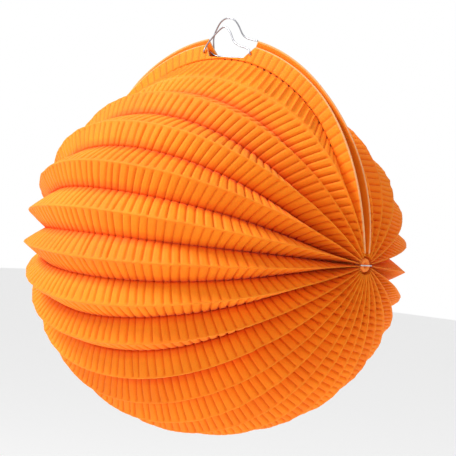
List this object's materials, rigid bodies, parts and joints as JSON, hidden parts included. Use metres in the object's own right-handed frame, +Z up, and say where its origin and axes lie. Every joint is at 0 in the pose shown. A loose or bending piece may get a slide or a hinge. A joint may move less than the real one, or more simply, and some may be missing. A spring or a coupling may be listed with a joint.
{
  "type": "accordion paper lantern",
  "caption": "Ball lantern of crimped paper folded like an accordion: the folds fan round a level axis between two stiff end strips, and two wire hangers join at the top.",
  "frame": {"origin": "hang point: just under the humps of the two wire hangers, where the hook or string goes through", "axes": "+Z up; +X along the pole axis that all the folds run to; -Y towards the near end strip, on the side the picture shows"},
  "size_m": [0.2212, 0.2124, 0.2376],
  "materials": {
    "pleat_01": "matte crimped paper",
    "pleat_02": "matte crimped paper",
    "pleat_03": "matte crimped paper",
    "pleat_04": "matte crimped paper",
    "pleat_05": "matte crimped paper",
    "pleat_06": "matte crimped paper",
    "pleat_07": "matte crimped paper",
    "pleat_08": "matte crimped paper",
    "pleat_09": "matte crimped paper",
    "pleat_10": "matte crimped paper",
    "pleat_11": "matte crimped paper",
    "pleat_12": "matte crimped paper",
    "pleat_13": "matte crimped paper",
    "pleat_14": "matte crimped paper",
    "pleat_15": "matte crimped paper",
    "pleat_16": "matte crimped paper",
    "pleat_17": "matte crimped paper",
    "pleat_18": "matte crimped paper",
    "pleat_19": "matte crimped paper",
    "pleat_20": "matte crimped paper",
    "pleat_21": "matte crimped paper",
    "pleat_22": "matte crimped paper",
    "pleat_23": "matte crimped paper",
    "pleat_24": "matte crimped paper",
    "pleat_25": "matte crimped paper",
    "end_card_near": "matte, pale cut edge",
    "end_card_far": "matte, pale cut edge",
    "hanger_wire_near": "bright drawn wire",
    "hanger_wire_far": "bright drawn wire",
    "pole_tie_left": "pressed paper ends",
    "pole_tie_right": "pressed paper ends",
    "pole_staple_left": "bright wire",
    "pole_staple_right": "bright wire"
  },
  "bodies": {
    "near_side": {"end_card_near": "end_card_near", "pole_tie_left": "pole_tie_left", "pole_tie_right": "pole_tie_right", "pole_staple_left": "pole_staple_left", "pole_staple_right": "pole_staple_right"},
    "far_side": {"end_card_far": "end_card_far"},
    "near_hanger": {"hanger_wire_near": "hanger_wire_near"},
    "far_hanger": {"hanger_wire_far": "hanger_wire_far"},
    "fold_01": {"pleat_01": "pleat_01"},
    "fold_02": {"pleat_02": "pleat_02"},
    "fold_03": {"pleat_03": "pleat_03"},
    "fold_04": {"pleat_04": "pleat_04"},
    "fold_05": {"pleat_05": "pleat_05"},
    "fold_06": {"pleat_06": "pleat_06"},
    "fold_07": {"pleat_07": "pleat_07"},
    "fold_08": {"pleat_08": "pleat_08"},
    "fold_09": {"pleat_09": "pleat_09"},
    "fold_10": {"pleat_10": "pleat_10"},
    "fold_11": {"pleat_11": "pleat_11"},
    "fold_12": {"pleat_12": "pleat_12"},
    "fold_13": {"pleat_13": "pleat_13"},
    "fold_14": {"pleat_14": "pleat_14"},
    "fold_15": {"pleat_15": "pleat_15"},
    "fold_16": {"pleat_16": "pleat_16"},
    "fold_17": {"pleat_17": "pleat_17"},
    "fold_18": {"pleat_18": "pleat_18"},
    "fold_19": {"pleat_19": "pleat_19"},
    "fold_20": {"pleat_20": "pleat_20"},
    "fold_21": {"pleat_21": "pleat_21"},
    "fold_22": {"pleat_22": "pleat_22"},
    "fold_23": {"pleat_23": "pleat_23"},
    "fold_24": {"pleat_24": "pleat_24"},
    "fold_25": {"pleat_25": "pleat_25"}
  },
  "joints": [
    {"name": "fan_close", "type": "hinge", "parent": "near_side", "child": "far_side", "pos_m": [0.0046, 0, -0.1245], "axis": [-1, 0, 0], "range_deg": [0, 344]},
    {"name": "fold_01_turn", "type": "hinge", "parent": "near_side", "child": "fold_01", "pos_m": [0.0046, 0, -0.1245], "axis": [-1, 0, 0], "range_deg": [0, 9.68], "deforming": ["pleat_01"]},
    {"name": "fold_02_turn", "type": "hinge", "parent": "near_side", "child": "fold_02", "pos_m": [0.0046, 0, -0.1245], "axis": [-1, 0, 0], "range_deg": [0, 28.02], "deforming": ["pleat_02"]},
    {"name": "fold_03_turn", "type": "hinge", "parent": "near_side", "child": "fold_03", "pos_m": [0.0046, 0, -0.1245], "axis": [-1, 0, 0], "range_deg": [0, 44.96], "deforming": ["pleat_03"]},
    {"name": "fold_04_turn", "type": "hinge", "parent": "near_side", "child": "fold_04", "pos_m": [0.0046, 0, -0.1245], "axis": [-1, 0, 0], "range_deg": [0, 60.67], "deforming": ["pleat_04"]},
    {"name": "fold_05_turn", "type": "hinge", "parent": "near_side", "child": "fold_05", "pos_m": [0.0046, 0, -0.1245], "axis": [-1, 0, 0], "range_deg": [0, 75.33], "deforming": ["pleat_05"]},
    {"name": "fold_06_turn", "type": "hinge", "parent": "near_side", "child": "fold_06", "pos_m": [0.0046, 0, -0.1245], "axis": [-1, 0, 0], "range_deg": [0, 89.11], "deforming": ["pleat_06"]},
    {"name": "fold_07_turn", "type": "hinge", "parent": "near_side", "child": "fold_07", "pos_m": [0.0046, 0, -0.1245], "axis": [-1, 0, 0], "range_deg": [0, 102.13], "deforming": ["pleat_07"]},
    {"name": "fold_08_turn", "type": "hinge", "parent": "near_side", "child": "fold_08", "pos_m": [0.0046, 0, -0.1245], "axis": [-1, 0, 0], "range_deg": [0, 114.56], "deforming": ["pleat_08"]},
    {"name": "fold_09_turn", "type": "hinge", "parent": "near_side", "child": "fold_09", "pos_m": [0.0046, 0, -0.1245], "axis": [-1, 0, 0], "range_deg": [0, 126.52], "deforming": ["pleat_09"]},
    {"name": "fold_10_turn", "type": "hinge", "parent": "near_side", "child": "fold_10", "pos_m": [0.0046, 0, -0.1245], "axis": [-1, 0, 0], "range_deg": [0, 138.14], "deforming": ["pleat_10"]},
    {"name": "fold_11_turn", "type": "hinge", "parent": "near_side", "child": "fold_11", "pos_m": [0.0046, 0, -0.1245], "axis": [-1, 0, 0], "range_deg": [0, 149.54], "deforming": ["pleat_11"]},
    {"name": "fold_12_turn", "type": "hinge", "parent": "near_side", "child": "fold_12", "pos_m": [0.0046, 0, -0.1245], "axis": [-1, 0, 0], "range_deg": [0, 160.81], "deforming": ["pleat_12"]},
    {"name": "fold_13_turn", "type": "hinge", "parent": "near_side", "child": "fold_13", "pos_m": [0.0046, 0, -0.1245], "axis": [-1, 0, 0], "range_deg": [0, 172.02], "deforming": ["pleat_13"]},
    {"name": "fold_14_turn", "type": "hinge", "parent": "near_side", "child": "fold_14", "pos_m": [0.0046, 0, -0.1245], "axis": [-1, 0, 0], "range_deg": [0, 183.23], "deforming": ["pleat_14"]},
    {"name": "fold_15_turn", "type": "hinge", "parent": "near_side", "child": "fold_15", "pos_m": [0.0046, 0, -0.1245], "axis": [-1, 0, 0], "range_deg": [0, 194.5], "deforming": ["pleat_15"]},
    {"name": "fold_16_turn", "type": "hinge", "parent": "near_side", "child": "fold_16", "pos_m": [0.0046, 0, -0.1245], "axis": [-1, 0, 0], "range_deg": [0, 205.9], "deforming": ["pleat_16"]},
    {"name": "fold_17_turn", "type": "hinge", "parent": "near_side", "child": "fold_17", "pos_m": [0.0046, 0, -0.1245], "axis": [-1, 0, 0], "range_deg": [0, 217.52], "deforming": ["pleat_17"]},
    {"name": "fold_18_turn", "type": "hinge", "parent": "near_side", "child": "fold_18", "pos_m": [0.0046, 0, -0.1245], "axis": [-1, 0, 0], "range_deg": [0, 229.48], "deforming": ["pleat_18"]},
    {"name": "fold_19_turn", "type": "hinge", "parent": "near_side", "child": "fold_19", "pos_m": [0.0046, 0, -0.1245], "axis": [-1, 0, 0], "range_deg": [0, 241.91], "deforming": ["pleat_19"]},
    {"name": "fold_20_turn", "type": "hinge", "parent": "near_side", "child": "fold_20", "pos_m": [0.0046, 0, -0.1245], "axis": [-1, 0, 0], "range_deg": [0, 254.93], "deforming": ["pleat_20"]},
    {"name": "fold_21_turn", "type": "hinge", "parent": "near_side", "child": "fold_21", "pos_m": [0.0046, 0, -0.1245], "axis": [-1, 0, 0], "range_deg": [0, 268.7], "deforming": ["pleat_21"]},
    {"name": "fold_22_turn", "type": "hinge", "parent": "near_side", "child": "fold_22", "pos_m": [0.0046, 0, -0.1245], "axis": [-1, 0, 0], "range_deg": [0, 283.37], "deforming": ["pleat_22"]},
    {"name": "fold_23_turn", "type": "hinge", "parent": "near_side", "child": "fold_23", "pos_m": [0.0046, 0, -0.1245], "axis": [-1, 0, 0], "range_deg": [0, 299.08], "deforming": ["pleat_23"]},
    {"name": "fold_24_turn", "type": "hinge", "parent": "near_side", "child": "fold_24", "pos_m": [0.0046, 0, -0.1245], "axis": [-1, 0, 0], "range_deg": [0, 316.02], "deforming": ["pleat_24"]},
    {"name": "fold_25_turn", "type": "hinge", "parent": "near_side", "child": "fold_25", "pos_m": [0.0046, 0, -0.1245], "axis": [-1, 0, 0], "range_deg": [0, 334.36], "deforming": ["pleat_25"]},
    {"name": "near_hanger_swing", "type": "hinge", "parent": "near_side", "child": "near_hanger", "pos_m": [0.0046, -0.00311, -0.01439], "axis": [1, 0, 0], "range_deg": [0, 32]},
    {"name": "far_hanger_swing", "type": "hinge", "parent": "far_side", "child": "far_hanger", "pos_m": [0.0046, 0.00311, -0.01324], "axis": [-1, 0, 0], "range_deg": [0, 32]}
  ],
  "couplings": [
    {"joint": "fold_01_turn", "follows": "fan_close", "ratio": 0.02809},
    {"joint": "fold_02_turn", "follows": "fan_close", "ratio": 0.08139},
    {"joint": "fold_03_turn", "follows": "fan_close", "ratio": 0.13063},
    {"joint": "fold_04_turn", "follows": "fan_close", "ratio": 0.17632},
    {"joint": "fold_05_turn", "follows": "fan_close", "ratio": 0.21894},
    {"joint": "fold_06_turn", "follows": "fan_close", "ratio": 0.25897},
    {"joint": "fold_07_turn", "follows": "fan_close", "ratio": 0.29683},
    {"joint": "fold_08_turn", "follows": "fan_close", "ratio": 0.33296},
    {"joint": "fold_09_turn", "follows": "fan_close", "ratio": 0.36773},
    {"joint": "fold_10_turn", "follows": "fan_close", "ratio": 0.40152},
    {"joint": "fold_11_turn", "follows": "fan_close", "ratio": 0.43465},
    {"joint": "fold_12_turn", "follows": "fan_close", "ratio": 0.4674},
    {"joint": "fold_13_turn", "follows": "fan_close", "ratio": 0.5},
    {"joint": "fold_14_turn", "follows": "fan_close", "ratio": 0.5326},
    {"joint": "fold_15_turn", "follows": "fan_close", "ratio": 0.56535},
    {"joint": "fold_16_turn", "follows": "fan_close", "ratio": 0.59848},
    {"joint": "fold_17_turn", "follows": "fan_close", "ratio": 0.63227},
    {"joint": "fold_18_turn", "follows": "fan_close", "ratio": 0.66704},
    {"joint": "fold_19_turn", "follows": "fan_close", "ratio": 0.70317},
    {"joint": "fold_20_turn", "follows": "fan_close", "ratio": 0.74103},
    {"joint": "fold_21_turn", "follows": "fan_close", "ratio": 0.78106},
    {"joint": "fold_22_turn", "follows": "fan_close", "ratio": 0.82368},
    {"joint": "fold_23_turn", "follows": "fan_close", "ratio": 0.86937},
    {"joint": "fold_24_turn", "follows": "fan_close", "ratio": 0.91861},
    {"joint": "fold_25_turn", "follows": "fan_close", "ratio": 0.97191}
  ]
}
